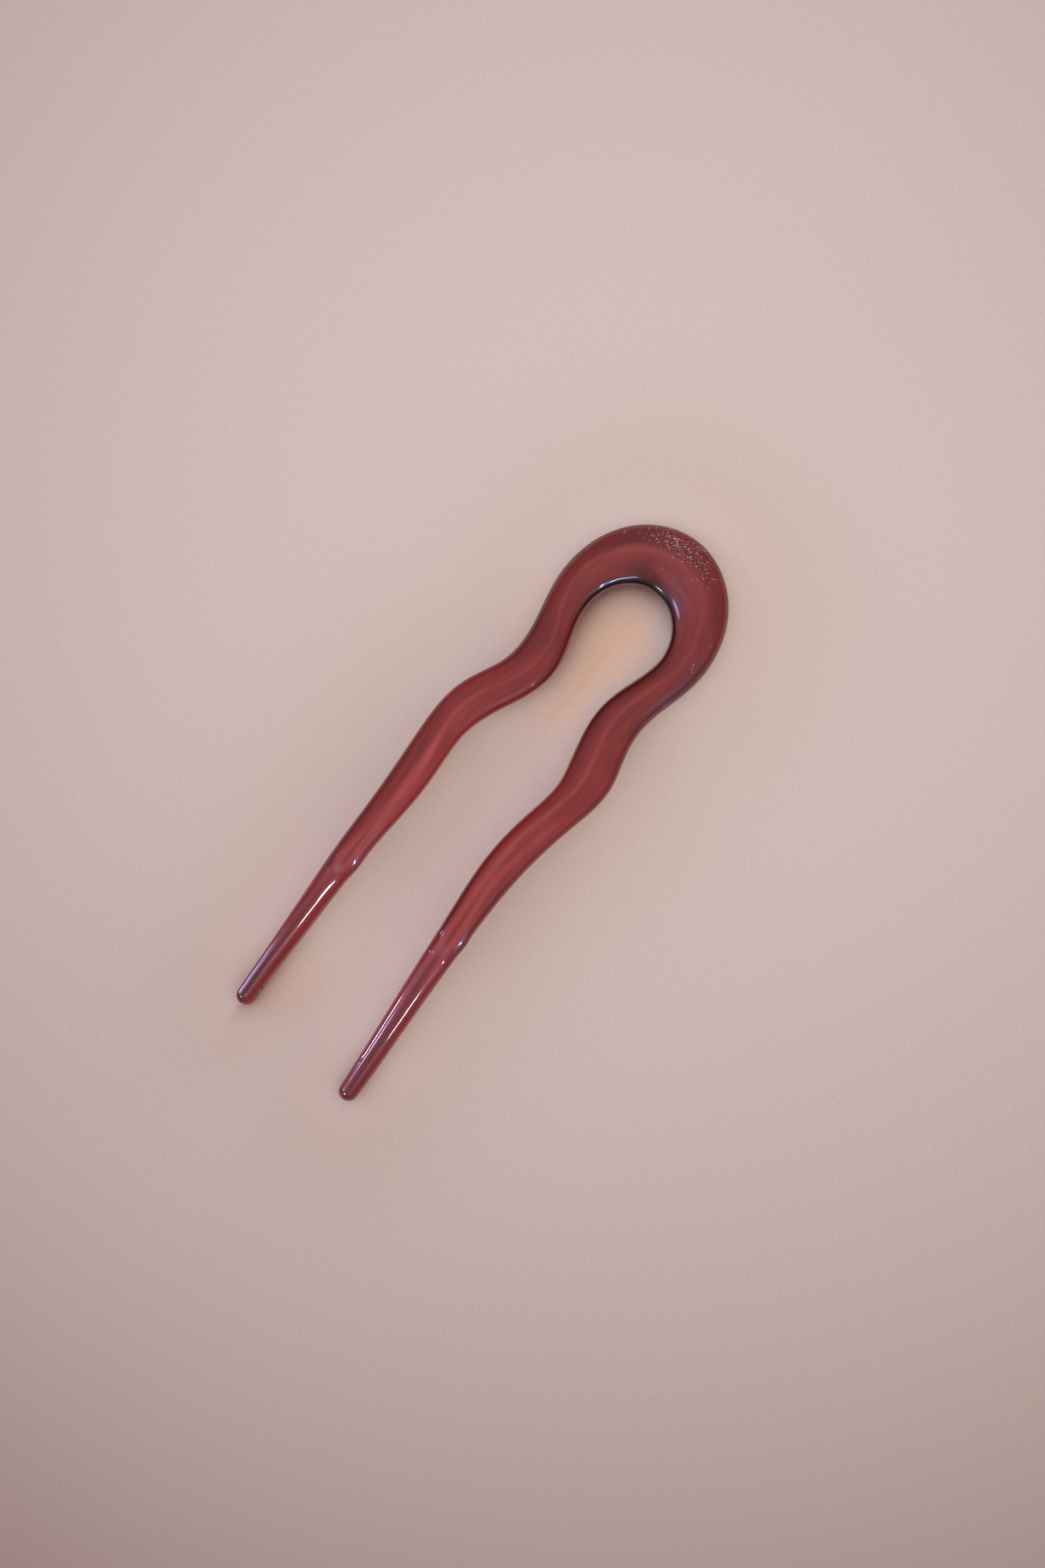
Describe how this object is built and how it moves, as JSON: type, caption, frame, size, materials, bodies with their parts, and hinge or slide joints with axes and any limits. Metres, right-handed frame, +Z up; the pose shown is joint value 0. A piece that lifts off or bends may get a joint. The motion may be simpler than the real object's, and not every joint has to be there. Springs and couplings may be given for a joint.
{
  "type": "hair pin",
  "caption": "U-shaped hair pin with a broad looped crown and wavy legs that taper to round tips, gently bowed to hold a coil of hair.",
  "frame": {"origin": "middle of the pin's outline, on the surface that it lies on", "axes": "+Y runs from the tips to the crown, +X towards the right leg with the crown away from the viewer, +Z up from the surface"},
  "size_m": [0.0336, 0.115, 0.0087],
  "materials": {
    "acetate": "polished translucent burgundy acetate"
  },
  "bodies": {
    "root": {"hair_pin": "acetate"}
  },
  "joints": []
}
